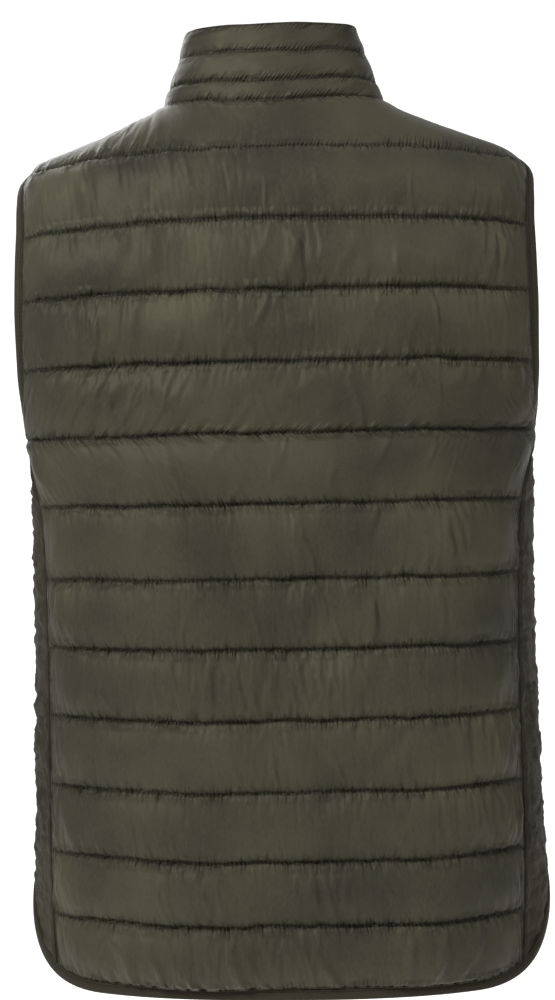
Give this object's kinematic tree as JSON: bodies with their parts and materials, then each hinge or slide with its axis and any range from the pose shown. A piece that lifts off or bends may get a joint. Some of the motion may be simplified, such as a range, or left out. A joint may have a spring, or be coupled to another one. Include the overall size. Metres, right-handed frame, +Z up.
{
  "type": "puffer vest",
  "caption": "Sleeveless quilted puffer vest with a stand collar, full front zip, plain side panels and bound armholes and hem, filled out as worn with nobody inside.",
  "frame": {"origin": "middle of the neck opening, level with the two points where the shoulder seams meet the collar", "axes": "+Z up, +Y out of the back, so the zip faces -Y, +X towards the wearer's left"},
  "size_m": [0.4184, 0.2492, 0.756],
  "materials": {
    "shell": "smooth satin woven nylon, quilted",
    "side_fabric": "plain matt stretch fabric",
    "binding": "folded matt binding tape",
    "zip_tape": "woven tape",
    "zip_teeth": "moulded",
    "zip_metal": "dark satin"
  },
  "bodies": {
    "vest": {"back": "shell", "front_left": "shell", "front_right": "shell", "side_left": "side_fabric", "side_right": "side_fabric", "collar": "shell", "armhole_binding_left": "binding", "armhole_binding_right": "binding", "hem_binding": "binding", "zip_tape_left": "zip_tape", "zip_tape_right": "zip_tape", "zip_chain": "zip_teeth", "zip_slider": "zip_metal", "zip_bottom_stop": "zip_metal"},
    "pull": {"zip_pull": "zip_metal"}
  },
  "joints": [
    {"name": "zip_pull_hinge", "type": "hinge", "parent": "vest", "child": "pull", "pos_m": [0, -0.07529, 0.00134], "axis": [-1, 0, 0], "range_deg": [0, 170]}
  ]
}
